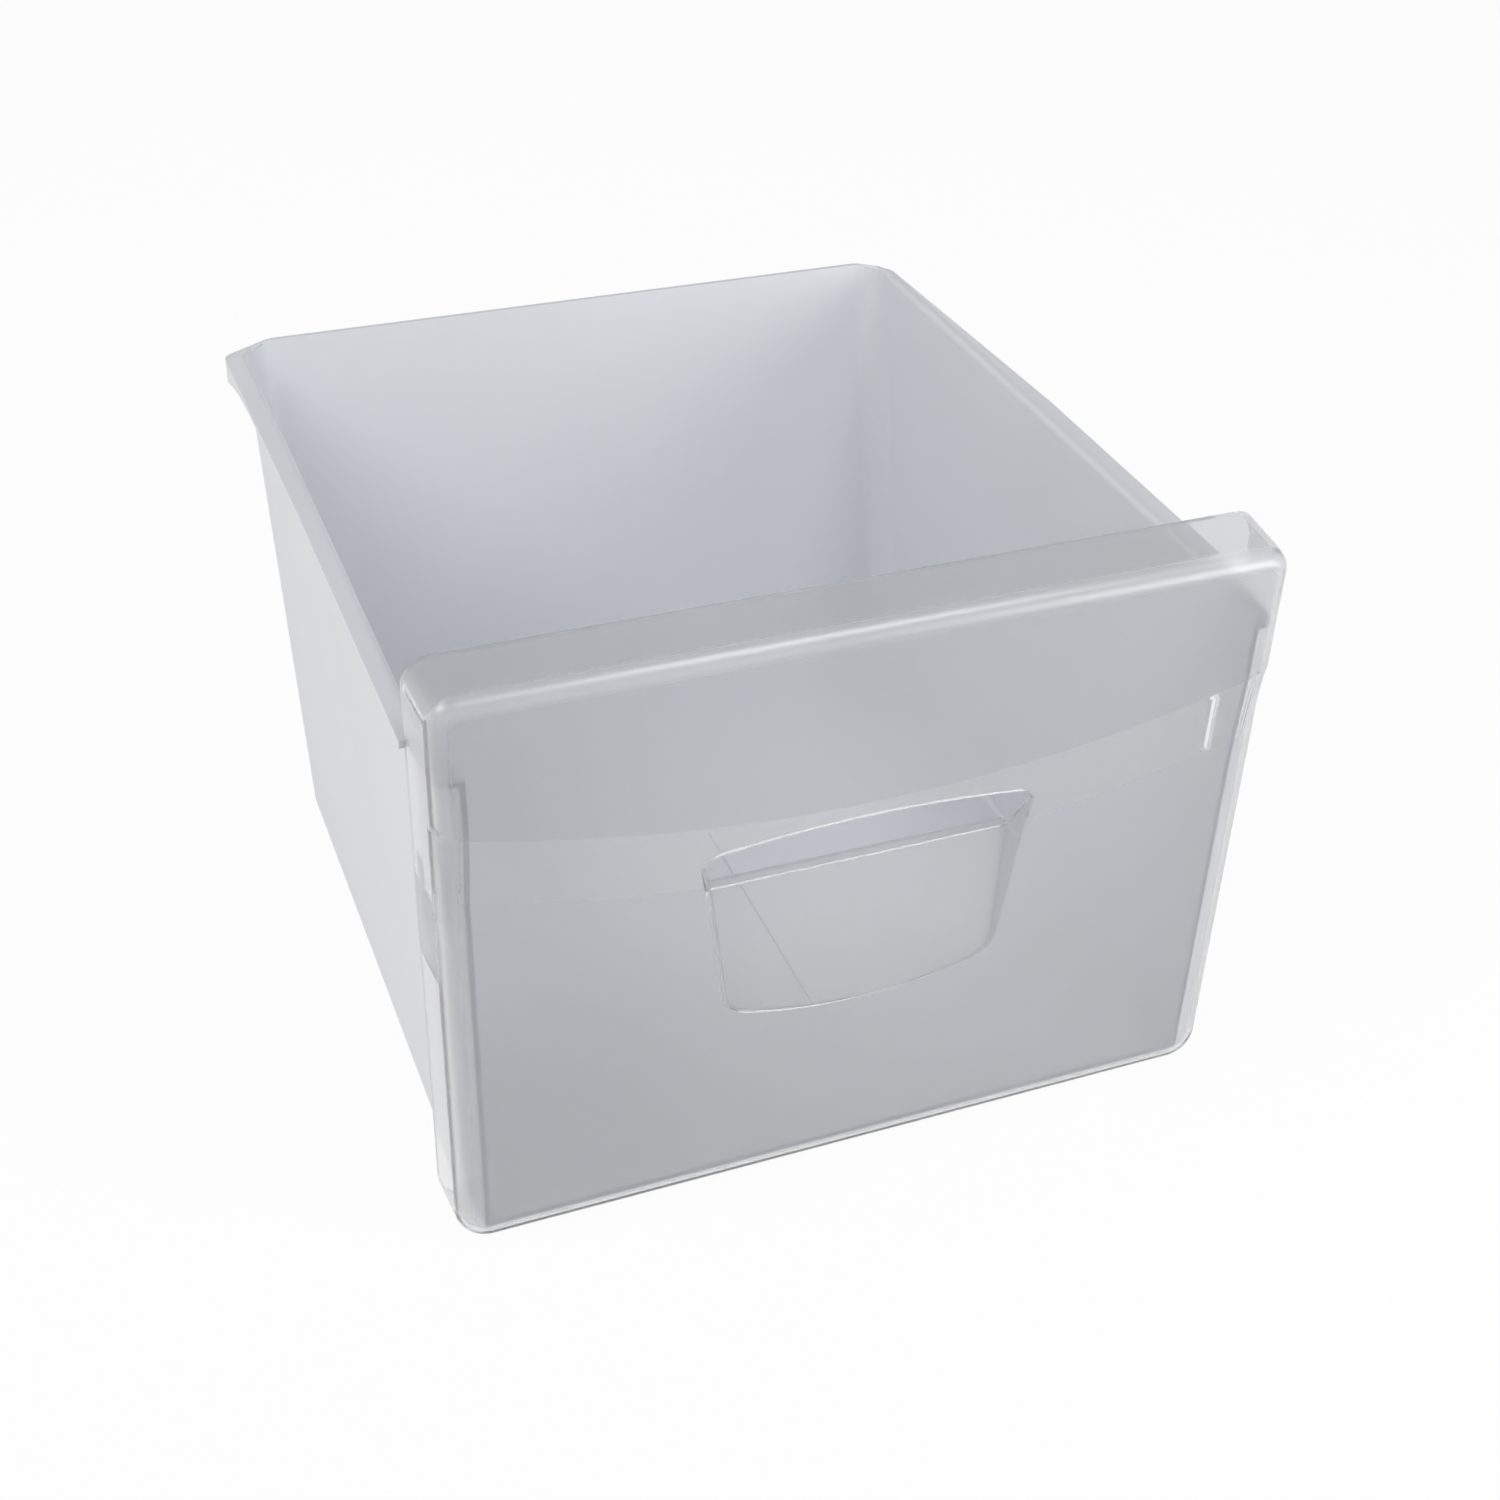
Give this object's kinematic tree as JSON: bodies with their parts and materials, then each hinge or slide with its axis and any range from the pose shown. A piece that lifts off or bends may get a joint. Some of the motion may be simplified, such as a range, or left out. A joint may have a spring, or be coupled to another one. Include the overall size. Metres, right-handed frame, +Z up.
{
  "type": "fridge drawer",
  "caption": "Deep storage drawer for a fridge: white moulded tub with side runner flanges and a leaning back, closed by a clear frosted front panel with a finger scoop.",
  "frame": {"origin": "middle of the drawer's footprint, on the level of the panel's lower edge", "axes": "+Y from the front panel towards the back, +Z up, +X to the right as seen from the front"},
  "size_m": [0.386, 0.4214, 0.295],
  "materials": {
    "white_plastic": "smooth satin white, slightly translucent",
    "clear_plastic": "clear, frosted on the face, polished on the band, scoop and edges"
  },
  "bodies": {
    "root": {"drawer_tub": "white_plastic", "front_panel": "clear_plastic"}
  },
  "joints": []
}
